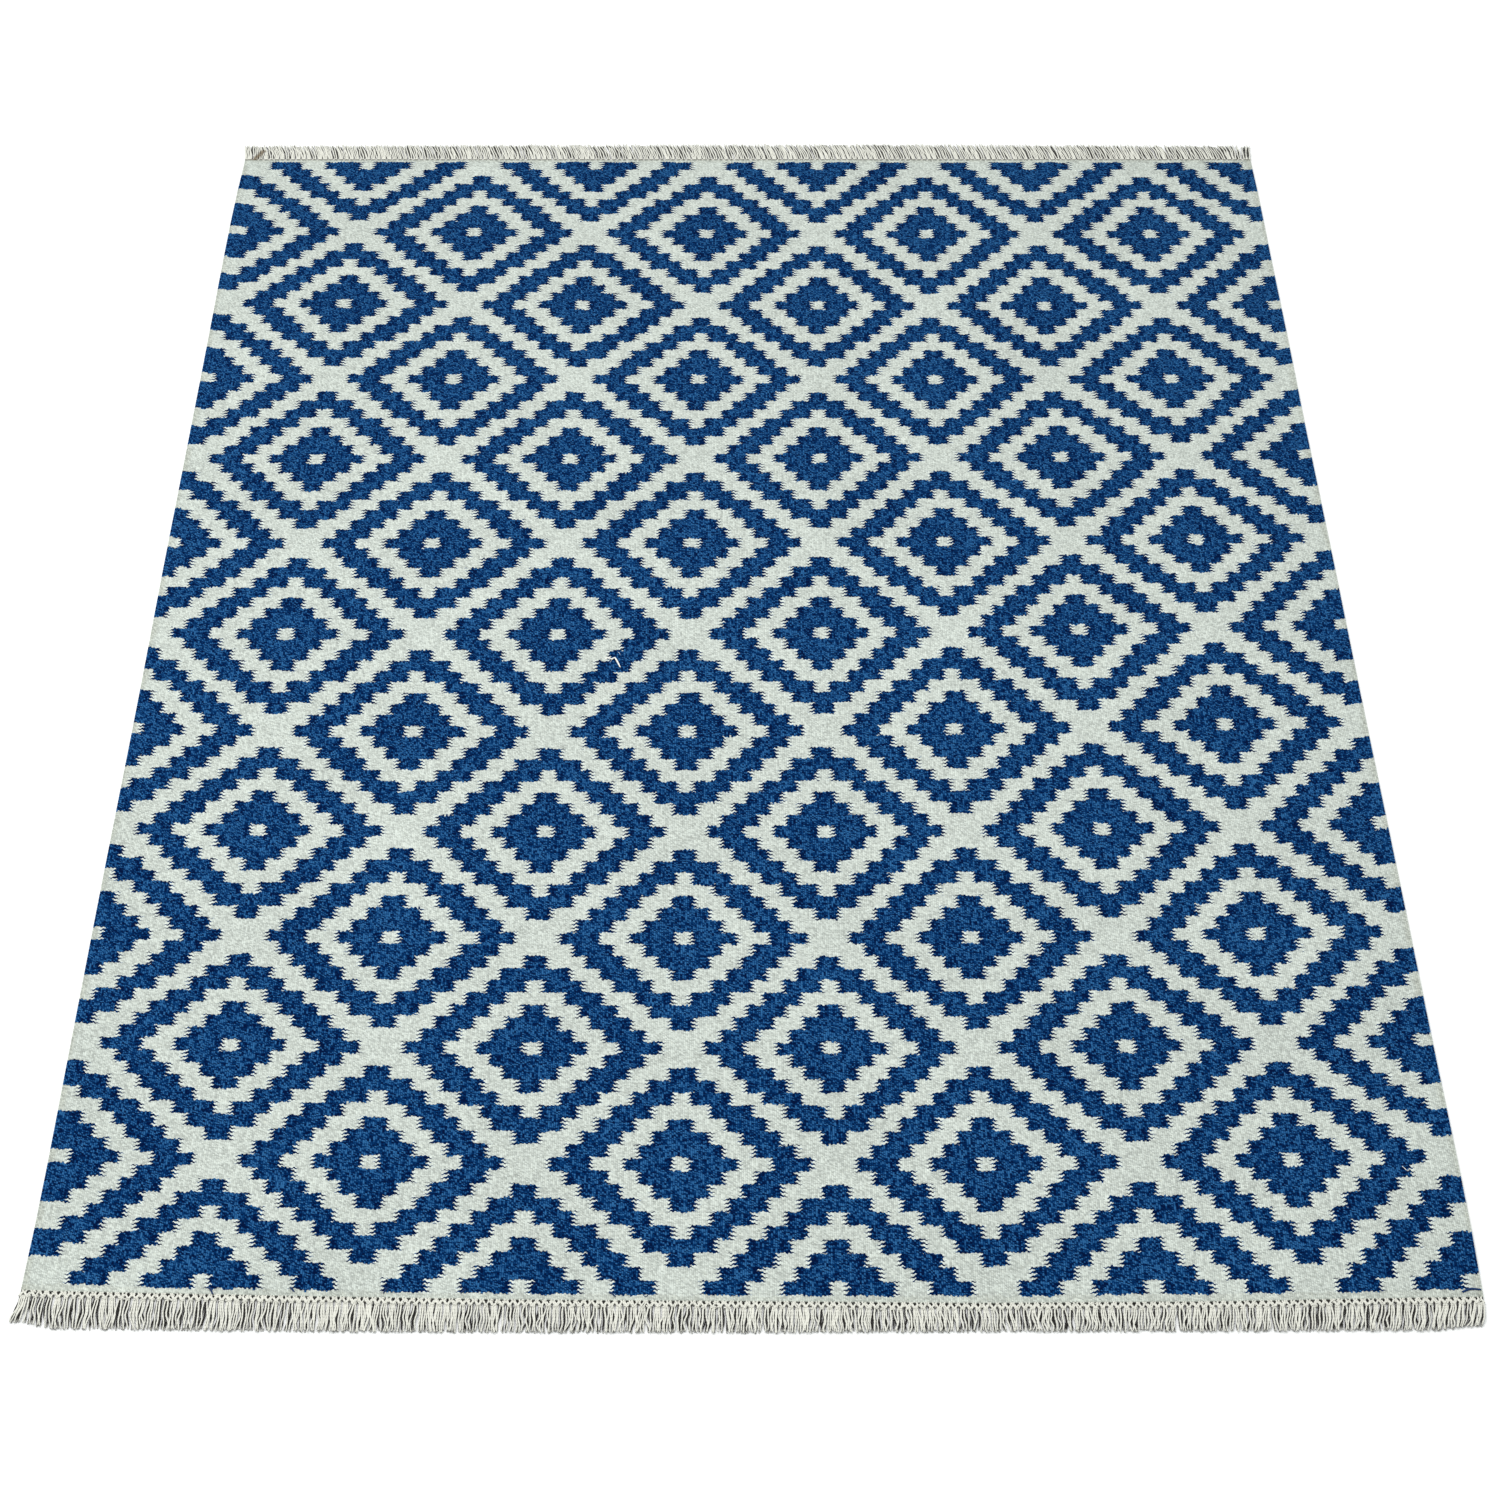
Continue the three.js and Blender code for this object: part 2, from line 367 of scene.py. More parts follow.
class ClothSettings(bpy.types.PropertyGroup):
    """Sizes and colours of the woven cloth."""
    thickness: length_property("Thickness", "Height of the ribs' crests above the floor", 4 * MM)
    rib_relief: length_property("Rib relief", "How deep the groove between two warp threads is", 0.45 * MM)
    swell: length_property("Swell", "How far the cloth lifts where it doesn't lie quite flat", 0.6 * MM)
    sections: IntProperty(name="Sections", description="Rows of faces along the cloth", default=28, min=8)
    cream: color_property("Cream weft", "Colour of the undyed cotton", srgb(189, 195, 188))
    loose: color_property("Loose cream weft", "Colour of the loose ends of cotton", srgb(247, 247, 240))
    # Also the colour that the loose cream ends darken towards by painted shade on their sides and between
    # their plies.
    fleck_and_shade: color_property("Fleck", "Colour of the greyer fibres in the cotton", srgb(150, 150, 134))
    blue: color_property("Blue weft", "Colour of the dyed cotton", srgb(0, 46, 95))
    pale_blue: color_property("Worn blue", "Colour of the cotton that took less dye", srgb(44, 97, 146))
    # Also the colour of painted shade: the blue darkens towards it in the grooves and on the spikes beside a
    # step, as well as at random.
    dark_and_shaded_blue: color_property("Deep blue", "Colour of the dyed cotton between its loops", srgb(0, 16, 54))
    tooth: FloatProperty(name="Tooth", default=1.8,
                         description="Warps by which one colour reaches into the other")
    blue_growth: FloatProperty(name="Blue growth", default=1.88,
                               description="Warps by which each blue shape outgrows its chart")


class FringeSettings(bpy.types.PropertyGroup):
    """Sizes and colours of the knots and strands at both ends."""
    knot_yarn: length_property("Knot yarn", "Thickness of the yarn in the knots", 2.2 * MM)
    strand: length_property("Strand thickness", "Thickness of one strand of the fringe", 2.15 * MM)
    knot_width: length_property("Knot width", "Width of one knot of the heading", 7 * MM)
    knot_length: length_property("Knot length", "Length of one knot along the rug", 6 * MM)
    knot_height: length_property("Knot height", "Height of one knot above the floor", 4.6 * MM)
    upper_row: length_property("Upper row", "From the weaving to the middle of the first knots", 2.7 * MM)
    lower_row: length_property("Lower row", "From the weaving to the middle of the second knots", 8 * MM)
    curl: length_property("Curl", "How far a strand snakes to each side", 1.3 * MM)
    gather: length_property("Gather", "How far neighbouring strands draw together", 5.4 * MM)
    yarn: color_property("Yarn", "Colour of the warp yarn", srgb(236, 235, 224))
    # Painted shade: the yarn darkens towards this colour between its plies, on its sides and on the lower
    # strands, and by its dust, stains and tone.
    shade: color_property("Yarn in the shade", "Colour deep between the strands", srgb(24, 20, 15))
    # The colour of the browner strand at the back left corner.
    brown_streak: color_property("Brown streak", "Colour of the dirty strand", srgb(120, 102, 72))


class StageSettings(bpy.types.PropertyGroup):
    """The floor, the lights and the camera."""
    floor: color_property("Floor", "Colour of the floor", srgb(250, 250, 249))
    sky: FloatProperty(name="Sky", description="Strength of the light from all round", default=0.8, min=0)
    key: FloatProperty(name="Key light", description="Power of the large light overhead", default=98,
                       min=0, unit="POWER")
    lens: FloatProperty(name="Lens", description="Focal length of the camera", default=77.58, unit="CAMERA")
    camera_place: FloatVectorProperty(name="Camera place", description="Where the camera stands", size=3,
                                      unit="LENGTH", subtype="TRANSLATION", default=(0.001, -3.2485, 2.8776))
    camera_tilt: FloatProperty(name="Camera tilt", description="Angle of the camera up from straight down",
                               subtype="ANGLE", default=math.radians(46.28))


class Term:
    """A number in a node tree. Sums, products and comparisons of terms add Math nodes to the tree."""

    def __init__(self, wiring, socket):
        self.wiring = wiring
        self.socket = socket

    def __add__(self, other):
        return self.wiring.math("ADD", self, other)

    def __radd__(self, other):
        return self.wiring.math("ADD", other, self)

    def __sub__(self, other):
        return self.wiring.math("SUBTRACT", self, other)

    def __rsub__(self, other):
        return self.wiring.math("SUBTRACT", other, self)

    def __mul__(self, other):
        return self.wiring.math("MULTIPLY", self, other)

    def __truediv__(self, other):
        return self.wiring.math("DIVIDE", self, other)

    def __pow__(self, other):
        return self.wiring.math("POWER", self, other)

    def __lt__(self, other):
        return self.wiring.math("LESS_THAN", self, other)

    def __gt__(self, other):
        return self.wiring.math("GREATER_THAN", self, other)

    def floor(self):
        return self.wiring.math("FLOOR", self)

    def fraction(self):
        return self.wiring.math("FRACT", self)

    def size(self):
        return self.wiring.math("ABSOLUTE", self)

    def sine(self):
        return self.wiring.math("SINE", self)

    def fold(self, length):
        """Runs up from 0 to the length and back down, over and over."""
        return self.wiring.math("PINGPONG", self, length)

    def ramp(self, low, high):
        """0 at low and 1 at high, held there outside them, with soft turns between."""
        return self.wiring.add("ShaderNodeMapRange", self, low, high, 0.0, 1.0,
                               interpolation_type="SMOOTHSTEP")


class Wiring:
    """Adds nodes to one tree and joins them."""

    def __init__(self, tree):
        self.tree = tree

    def add(self, kind, *values, out=0, **settings):
        """Adds a node, sets it up, feeds its sockets in their order and gives one of its outputs."""
        node = self.tree.nodes.new(kind)
        for name, value in settings.items():
            setattr(node, name, value)
        sockets = [socket for socket in node.inputs if socket.enabled]
        for socket, value in zip(sockets, values):
            self.feed(socket, value)
        outputs = [socket for socket in node.outputs if socket.enabled]
        return Term(self, outputs[out]) if outputs else node

    def feed(self, socket, value):
        if value is None:
            return
        if isinstance(value, Term):
            self.tree.links.new(value.socket, socket)
        else:
            socket.default_value = value

    def math(self, operation, *values):
        return self.add("ShaderNodeMath", *values, operation=operation)

    def total(self, base, patterns, weights):
        """The base with each pattern added, times the weight of its name."""
        return sum((patterns[name] * weight for name, weight in weights.items()), base)

    def mix(self, share, first, second, data_type="FLOAT"):
        return self.add("ShaderNodeMix", share, first, second, data_type=data_type)

    def mix_color(self, share, first, second):
        return self.mix(share, first, second, "RGBA")

    def vector(self, x=0.0, y=0.0, z=0.0):
        return self.add("ShaderNodeCombineXYZ", x, y, z)

    def scaled(self, vector, size):
        """A vector, or a colour, times a number."""
        return self.add("ShaderNodeVectorMath", vector, size, operation="SCALE")

    def parts(self, vector):
        """The three numbers of a vector or a colour."""
        first = self.add("ShaderNodeSeparateXYZ", vector)
        node = first.socket.node
        return [Term(self, output) for output in node.outputs]

    def noise(self, vector, scale=1.0, detail=2.0, roughness=0.5):
        return self.add("ShaderNodeTexNoise", vector, scale, detail, roughness)

    def line_noise(self, along, line, sizes, detail=1.0):
        """Noise along each line of the weave, that changes from line to line."""
        return self.noise(self.vector(along * sizes["along"], line * sizes["apart"]), 1.0, detail)

    def speck(self, vector):
        """A random number of 0 to 1 that is the same wherever the vector is the same."""
        return self.add("ShaderNodeTexWhiteNoise", vector)

    def own(self, name):
        """A named number of the mesh, in a material."""
        return self.add("ShaderNodeAttribute", attribute_name=name, out=2)

    def attribute(self, name, kind="FLOAT"):
        """A named attribute of the mesh, in a geometry tree."""
        return self.add("GeometryNodeInputNamedAttribute", name, data_type=kind)

    def random(self, low, high, seed):
        """A random number for each point, in a geometry tree."""
        return self.add("FunctionNodeRandomValue", low, high, None, seed)

    def store(self, geometry, name, value, kind="FLOAT"):
        return self.add("GeometryNodeStoreNamedAttribute", geometry, None, name, value, data_type=kind)

    def spline_share(self):
        """How far along its curve a point is, from 0 to 1."""
        return self.add("GeometryNodeSplineParameter")

    def spline_length(self):
        return self.add("GeometryNodeSplineParameter", out=1)


def settings_of(context, name):
    return getattr(context.scene, name)


def shader(name, finish):
    """A new material with the plain values of its finish: the material, its wiring and its surface."""
    material = bpy.data.materials.new(name)
    material.use_nodes = True
    wiring = Wiring(material.node_tree)
    surface = material.node_tree.nodes["Principled BSDF"]
    for name, value in finish.items():
        surface.inputs[name].default_value = value
    return material, wiring, surface


def set_bump(wiring, surface, bump, height):
    node = wiring.add("ShaderNodeBump", bump["strength"], bump["depth"], None, height)
    wiring.feed(surface.inputs["Normal"], node)


def color_steps(wiring, share, colors):
    """A colour ramp with a plain step for each colour, the steps evenly spread from 0 to 1."""
    ramp = wiring.add("ShaderNodeValToRGB", share)
    elements = ramp.socket.node.color_ramp.elements
    ramp.socket.node.color_ramp.interpolation = "CONSTANT"
    while len(elements) < len(colors):
        elements.new(1.0)
    for place, (element, color) in enumerate(zip(elements, colors)):
        element.position = place / len(colors)
        element.color = (*color, 1.0)
    return ramp


def diamond_sides(wiring, row):
    """Half widths of one stepped diamond at a row, in warps: its ring, its hole, its heart and the dash."""
    chart = [tuple((step[key] + CHART_SHIFT) / CHART_SPAN for key in ("ring", "hole", "heart"))
             for step in DIAMOND]
    widths = color_steps(wiring, (row + 0.5) / len(DIAMOND), chart)
    sides = [width * CHART_SPAN - CHART_SHIFT for width in wiring.parts(widths)]
    return [*sides, (row < 0.5) * (DASH - NONE) + NONE]


def nearest_side(wiring, across, sides):
    """How far the nearest of the sides is, in warps."""
    near = (across - sides[0]).size()
    for side in sides[1:]:
        near = wiring.math("MINIMUM", near, (across - side).size())
    return near


def blue_of_diamond(wiring, across, sides, bite):
    """1 where one stepped diamond is blue. Across counts from its middle, and a bite moves each side."""
    ring, hole, heart, dash = sides
    in_ring = (across < ring - bite) * (across > hole + bite)
    in_heart = (across < heart - bite) * (across > dash + bite)
    return in_ring + in_heart


def cloth_material(settings):
    """Weft-faced cotton in two colours, dovetailed where they meet along the warp."""
    material, wiring, surface = shader("packed_weft", CLOTH_FINISH)
    warp, row, _ = wiring.parts(wiring.add("ShaderNodeUVMap", uv_map="chart"))
    rib, pick, _ = wiring.parts(wiring.add("ShaderNodeUVMap", uv_map="weave"))
    place = wiring.add("ShaderNodeTexCoord", out=3)

    odd_rib = (rib / 2).fraction() > 0.5
    groove = (rib.fraction() * 2 - 1).size()
    loop = (pick + odd_rib) * LOOPS_PER_PICK - rib.fraction() * LOOP_SLANT
    loop_edge = (loop.fraction() * 2 - 1).size()

    wander = wiring.noise(place, WANDER_NOISE) - 0.5
    ripple = wiring.noise(place, RIPPLE_NOISE, 1.0) - 0.5
    beat_row = row + odd_rib * RIB_STAGGER - RIB_STAGGER / 2 + wander * ROW_WANDER
    counted_row = (beat_row + ripple * ROW_RIPPLE + 0.5).floor()
    band = counted_row.fold(ROWS_PER_LINE)
    step = wiring.line_noise(warp, counted_row, STEP_NOISE) - 0.5
    across = (warp + step * STEP_SCATTER - WARPS_PER_LINE).fold(WARPS_PER_LINE)
    woven = (counted_row - (FIRST_ROW + LAST_ROW) / 2).size() < (LAST_ROW - FIRST_ROW) / 2 + 0.1
    here = (across, diamond_sides(wiring, band))
    beside = (WARPS_PER_LINE - across, diamond_sides(wiring, ROWS_PER_LINE - band))
    near = wiring.math("MINIMUM", nearest_side(wiring, *here), nearest_side(wiring, *beside))
    arch = 1 - near.ramp(0.0, ARCH_WIDTH)
    tooth_count = (beat_row + arch * TOOTH_ARCH) * TEETH_PER_ROW
    spike = (tooth_count.fraction() * 2 - 1).size()
    tooth_size = wiring.line_noise(warp, tooth_count.floor(), TOOTH_NOISE) * TOOTH_UNEVEN + TOOTH_LEAST
    bite = (1 - spike ** TOOTH_POINT * 2) * tooth_size * settings.tooth - settings.blue_growth
    blue_share = blue_of_diamond(wiring, *here, bite) + blue_of_diamond(wiring, *beside, bite)
    blue_share = wiring.math("MINIMUM", blue_share * woven, 1.0)
    # Near the side of a step: a painted highlight on the cream teeth and painted shade on the blue spikes.
    near_side = 1 - near.ramp(*SIDE_LIGHT)

    stitch = wiring.speck(wiring.vector(rib.floor(), loop.floor())) - 0.5
    grain_x = rib * GRAIN_NOISE["rib"] + pick * GRAIN_NOISE["pick"]
    grain_y = rib * GRAIN_NOISE["rib_aside"] + pick * GRAIN_NOISE["pick_aside"]
    grain = wiring.noise(wiring.vector(grain_x, grain_y), 1.0, 2.0, 0.6) - 0.5
    streak_x = rib * STREAK_NOISE["rib"]
    streak_y = pick * STREAK_NOISE["pick"]
    streak_place = wiring.vector(streak_x, streak_y, STREAK_NOISE["layer"])
    from_selvedge = wiring.math("MINIMUM", rib, WARPS - rib)
    patterns = {
        "weft": wiring.line_noise(rib, pick.floor(), WEFT_NOISE, 2.0) - 0.5,
        "stitch": stitch,
        "grooved_stitch": stitch * groove,
        "grain": grain,
        "grain_spots": grain.ramp(*FLECK_GRAIN),
        "streak": wiring.noise(streak_place, 1.0, 1.0) - 0.5,
        "patch": wiring.noise(place, PATCH_NOISE, 2.0) - 0.5,
        "selvedge": 1 - (from_selvedge + wander * BAND_WANDER).ramp(*SELVEDGE_BAND),
        "end": 1 - woven,
        # In the blue, the groove adds painted shade in the grooves between the ribs.
        "groove": groove,
        # Painted shade in the grooves between the ribs.
        "painted_groove_shade": groove ** 4,
        # Painted shade at the ends of the loops.
        "painted_loop_shade": loop_edge ** 4,
        # Painted highlight on the cream teeth and painted shade on the blue spikes, beside a step.
        "painted_tooth_highlight": near_side * (1 - spike),
        "painted_spike_shade": near_side * spike,
    }
    cream = wiring.mix_color(wiring.total(0, patterns, FLECK_PARTS), settings.cream, settings.fleck_and_shade)
    cream = wiring.scaled(cream, wiring.total(CREAM_BASE, patterns, CREAM_PARTS))
    blue_light = wiring.total(BLUE_BASE, patterns, BLUE_PARTS)
    blue = wiring.mix_color(blue_light, settings.blue, settings.pale_blue)
    # Below zero, the blue's light darkens it towards the darkest blue, partly as painted shade.
    blue = wiring.mix_color(blue_light * -1, blue, settings.dark_and_shaded_blue)
    wiring.feed(surface.inputs["Base Color"], wiring.mix_color(blue_share, cream, blue))
    height = (1 - groove ** 2) * CLOTH_BUMP["rib"] + (1 - loop_edge ** 2) * CLOTH_BUMP["loop"] + grain
    set_bump(wiring, surface, CLOTH_BUMP, height)
    return material


def brown_streak_share(wiring, place):
    """1 along the browner strand and 0 away from it."""
    run_x = BROWN_STREAK["to_x"] - BROWN_STREAK["x"]
    run_y = BROWN_STREAK["to_y"] - BROWN_STREAK["y"]
    length = math.hypot(run_x, run_y)
    x, y, _ = wiring.parts(wiring.scaled(place, 1 / MM))
    from_x = x - BROWN_STREAK["x"]
    from_y = y - BROWN_STREAK["y"]
    along = (from_x * run_x + from_y * run_y) / length
    off = ((from_x * run_y - from_y * run_x) / length).size()
    beside = off.ramp(1.5, BROWN_STREAK["half_width"])
    beyond = along.ramp(length - 4, length)
    return (1 - beside) * along.ramp(-2.0, 1.0) * (1 - beyond) * BROWN_STREAK["share"]


def yarn_material(settings, name, color, shade):
    """Two-ply yarn: a twist in its bump, darker, browner strands here and there, and painted shade."""
    material, wiring, surface = shader(name, YARN_FINISH)
    across, up, _ = wiring.parts(wiring.add("ShaderNodeAttribute", attribute_name="round", out=1))
    turn = wiring.math("ARCTAN2", up, across)
    twist = (turn * 2 + wiring.own("along") * (2 * math.pi / TWIST_LENGTH)).sine() * 0.5 + 0.5
    place = wiring.add("ShaderNodeTexCoord", out=3)
    dust = wiring.noise(place, DUST_NOISE, 3.0, 0.6)
    _, _, facing_up = wiring.parts(wiring.add("ShaderNodeNewGeometry", out=1))
    # Painted shade: between the plies, on the sides that face away from up, and on the lower strands.
    dark = wiring.total(YARN_BASE, {
        "painted_ply_shade": 1 - twist,
        "dust": dust.ramp(*DUST_RANGE),
        "tone": wiring.own("tone"),
        "stain": wiring.noise(place, STAIN_NOISE, 2.0).ramp(*STAIN_RANGE),
        "painted_side_shade": 1 - facing_up.ramp(*LIT_RANGE),
        "painted_shade": wiring.own("painted_shade"),
    }, YARN_PARTS)
    yarn = wiring.mix_color(wiring.math("MINIMUM", dark, 1.0), color, shade)
    yarn = wiring.mix_color(brown_streak_share(wiring, place), yarn, settings.brown_streak)
    wiring.feed(surface.inputs["Base Color"], yarn)
    set_bump(wiring, surface, YARN_BUMP, twist + dust * YARN_BUMP["dust"])
    return material


def column_of(table, name):
    return np.array([row[name] for row in table], float)


def bowed_rows(share):
    """Each line of rows as a smooth bow through its three places, for a share of -1 to 1, in metres."""
    names = ("left", "middle", "right")
    first, middle, last = (column_of(ROW_LINES, name)[:, None] * MM for name in names)
    return middle + (last - first) / 2 * share + ((first + last) / 2 - middle) * share ** 2


def carried_on(places, at, values):
    """Values read off at the places, and carried straight on beyond the first and the last of them."""
    inside = np.interp(places, at, values)
    below = values[0] + (places - at[0]) * (values[1] - values[0]) / (at[1] - at[0])
    above = values[-1] + (places - at[-1]) * (values[-1] - values[-2]) / (at[-1] - at[-2])
    return np.where(places < at[0], below, np.where(places > at[-1], above, inside))


class Outline:
    """The outline of the weaving, read from the CAD model's rim."""

    def __init__(self):
        points = np.array([vertex.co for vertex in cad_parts["woven_field"].data.vertices])
        lowest, highest = RIM_HEIGHTS
        rim = points[(points[:, 2] > lowest) & (points[:, 2] < highest)]
        self.left_rim = self.sorted_by(1, rim[rim[:, 0] < -SELVEDGE_X])
        self.right_rim = self.sorted_by(1, rim[rim[:, 0] > SELVEDGE_X])
        self.front_rim = self.sorted_by(0, rim[rim[:, 1] < -END_Y])
        self.back_rim = self.sorted_by(0, rim[rim[:, 1] > END_Y])

    @staticmethod
    def sorted_by(axis, points):
        return points[np.argsort(points[:, axis])]

    def left(self, y):
        return np.interp(y, self.left_rim[:, 1], self.left_rim[:, 0])

    def right(self, y):
        return np.interp(y, self.right_rim[:, 1], self.right_rim[:, 0])

    def woven(self, side, x):
        rim = self.back_rim if side > 0 else self.front_rim
        return np.interp(x, rim[:, 0], rim[:, 1])


OUTLINE = Outline()


def row_y(row, x):
    """Where a row of the chart lies along the rug, for many places across."""
    lines = bowed_rows(x / HALF_WIDTH)
    count = column_of(ROW_LINES, "line")
    near_selvedge = np.clip((np.abs(x) - HALF_WIDTH) / SELVEDGE_PULL + 1, 0, 1) ** 2
    lines += SELVEDGE_RISE * near_selvedge * (1 - count[:, None] / LEVEL_LINE)
    return np.array([carried_on(row, count * ROWS_PER_LINE, lines[:, i]) for i in range(len(x))])


def warp_on_chart(row, x):
    """The chart's count of warps at many places across one row."""
    rows = np.linspace(ROW_LINES[0]["line"], ROW_LINES[-1]["line"], len(COLUMN_PLACES)) * ROWS_PER_LINE
    lines = [np.interp(row, rows, [line[place] * MM for place in COLUMN_PLACES]) for line in COLUMN_LINES]
    warp = carried_on(x, np.array(lines), column_of(COLUMN_LINES, "line") * WARPS_PER_LINE)
    return np.clip(warp, COLUMN_LINES[0]["line"] * WARPS_PER_LINE, COLUMN_LINES[-1]["line"] * WARPS_PER_LINE)


def mesh_object(name, points, faces=(), edges=(), uv_maps=None, attributes=None):
    """A new object at the origin. UV maps and attributes hold a value for each point."""
    mesh = bpy.data.meshes.new(name)
    mesh.from_pydata(points, edges, faces)
    corner_points = np.zeros(len(mesh.loops), np.int32)
    mesh.loops.foreach_get("vertex_index", corner_points)
    for map_name, values in (uv_maps or {}).items():
        layer = mesh.uv_layers.new(name=map_name)
        layer.uv.foreach_set("vector", values[corner_points].astype(np.float32).ravel())
    for attribute_name, values in (attributes or {}).items():
        attribute = mesh.attributes.new(attribute_name, "FLOAT", "POINT")
        attribute.data.foreach_set("value", np.asarray(values, np.float32))
    made = bpy.data.objects.new(name, mesh)
    bpy.context.scene.collection.objects.link(made)
    return made


def geometry_tree(name, inputs):
    """A new geometry tree with named inputs after its geometry: its wiring and the terms of its inputs."""
    tree = bpy.data.node_groups.new(name, "GeometryNodeTree")
    tree.interface.new_socket("Geometry", in_out="INPUT", socket_type="NodeSocketGeometry")
    for label, kind in inputs.items():
        tree.interface.new_socket(label, in_out="INPUT", socket_type=kind)
    tree.interface.new_socket("Geometry", in_out="OUTPUT", socket_type="NodeSocketGeometry")
    wiring = Wiring(tree)
    terms = [Term(wiring, socket) for socket in tree.nodes.new("NodeGroupInput").outputs[:-1]]
    return wiring, terms


def end_tree(wiring, geometry, material, smooth=True):
    """The last nodes of each tree: the shading, every instance made real, and the material set."""
    shaded = wiring.add("GeometryNodeSetShadeSmooth", geometry, None, smooth)
    real = wiring.add("GeometryNodeRealizeInstances", shaded)
    output = wiring.tree.nodes.new("NodeGroupOutput")
    wiring.feed(output.inputs[0], wiring.add("GeometryNodeSetMaterial", real, None, material))
    return wiring


def copies_of_line(wiring, points, count):
    """A line of unit length at each point, as real curves with that many points each."""
    line = wiring.add("GeometryNodeCurvePrimitiveLine", (0.0, 0.0, 0.0), (0.0, 1.0, 0.0))
    line = wiring.add("GeometryNodeResampleCurve", line, None, count)
    lines = wiring.add("GeometryNodeInstanceOnPoints", points, None, line)
    return wiring.add("GeometryNodeRealizeInstances", lines)


def grown(source, name, wiring, values):
    """Runs a tree on the source object and gives the result as a plain object of that name."""
    modifier = source.modifiers.new("grow", "NODES")
    modifier.node_group = wiring.tree
    for item in wiring.tree.interface.items_tree:
        if item.in_out == "INPUT" and item.name in values:
            modifier[item.identifier] = values[item.name]
    graph = bpy.context.evaluated_depsgraph_get()
    mesh = bpy.data.meshes.new_from_object(source.evaluated_get(graph), preserve_all_data_layers=True,
                                           depsgraph=graph)
    mesh.name = name
    bpy.data.objects.remove(source)
    made = bpy.data.objects.new(name, mesh)
    bpy.context.scene.collection.objects.link(made)
    return made


def ribbed_relief_tree():
    """Sinks the grooves between the ribs and lets the cloth lift a little here and there."""
    wiring, (geometry, relief, swell, material) = geometry_tree("ribbed_relief", {
        "Rib relief": "NodeSocketFloat",
        "Swell": "NodeSocketFloat",
        "Material": "NodeSocketMaterial",
    })
    position = wiring.add("GeometryNodeInputPosition")
    sink = wiring.attribute("groove") * wiring.attribute("facing") * relief * -1
    lift = wiring.noise(position, SWELL_NOISE, 1.0).ramp(*SWELL_RANGE) * swell
    offset = wiring.vector(0.0, 0.0, sink + lift)
    moved = wiring.add("GeometryNodeSetPosition", geometry, None, None, offset)
    return end_tree(wiring, moved, material, smooth=False)


def cloth_rows(sections):
    """The rows of the cloth's mesh from the back end to the front end: y, chart row and pinch, by x."""
    def end_row(side, inset, pinch):
        edge_row = FIRST_ROW if side > 0 else LAST_ROW
        def along(x):
            y = OUTLINE.woven(side, x) - side * inset
            return y, edge_row + (row_y(edge_row, x) - y) / ROW_HEIGHT
        return along, pinch

    def chart_row(row):
        def along(x):
            return row_y(row, x), np.full(len(x), row)
        return along, 0

    rows = [end_row(1, step["inset"], step["pinch"]) for step in END_ROUND]
    rows += [chart_row(row) for row in np.linspace(FIRST_ROW, LAST_ROW, sections)]
    rows += [end_row(-1, step["inset"], step["pinch"]) for step in reversed(END_ROUND)]
    return rows


def build_cloth(settings):
    """One closed sheet: ribs on both faces, rounded selvedges and closed ends."""
    random = np.random.default_rng(CLOTH_SEED)
    columns = np.arange(1, 2 * WARPS)
    spread = np.cumsum(1 + RIB_SPREAD * random.standard_normal(2 * WARPS))
    share = spread[columns - 1] / spread[-1]
    crest = columns % 2 == 1
    crest_depth = CREST_DEPTH * random.random(len(columns))
    groove_depth = LEAST_GROOVE + (1 - LEAST_GROOVE) * random.random(len(columns))
    rib_depth = np.where(crest, crest_depth, groove_depth)

    points, chart, weave, groove, facing = [], [], [], [], []
    for along, pinch in cloth_rows(settings.sections):
        x = -HALF_WIDTH + 2 * HALF_WIDTH * share
        for _ in range(FIT_ROUNDS):
            y, row = along(x)
            x = OUTLINE.left(y) + (OUTLINE.right(y) - OUTLINE.left(y)) * share
        top = settings.thickness * (1 - pinch)
        bottom = settings.thickness * pinch
        warp = warp_on_chart(row.mean(), x)

        def rim(edge_x, inward, end, steps):
            for step in steps:
                height = bottom + (top - bottom) * step["height"]
                points.append((edge_x + inward * step["inset"], y[end], height))
                chart.append((warp[end], row[end]))
                weave.append((0.5 if end == 0 else WARPS - 0.5, row[end] * PICKS_PER_ROW))
                groove.append(0)
                facing.append(0)

        def face(order, height, side):
            for i in order:
                points.append((x[i], y[i], height))
                chart.append((warp[i], row[i]))
                weave.append((columns[i] / 2, row[i] * PICKS_PER_ROW))
                groove.append(rib_depth[i])
                facing.append(side)

        forwards = range(len(columns))
        face(forwards, top, 1)
        rim(OUTLINE.right(y[-1]), -1, -1, SELVEDGE_ROUND)
        face(reversed(forwards), bottom, -1)
        rim(OUTLINE.left(y[0]), 1, 0, SELVEDGE_ROUND[::-1])

    ring = 2 * len(columns) + 2 * len(SELVEDGE_ROUND)
    row_count = len(points) // ring
    faces = []
    for j in range(row_count - 1):
        for i in range(ring):
            after = (i + 1) % ring
            faces.append((j * ring + i, (j + 1) * ring + i, (j + 1) * ring + after, j * ring + after))
    for j, turned in ((0, False), (row_count - 1, True)):
        faces += end_cap(j * ring, len(columns), ring, turned)
    return mesh_object("cloth_source", points, faces,
                       uv_maps={"chart": np.array(chart), "weave": np.array(weave)},
                       attributes={"groove": groove, "facing": facing})


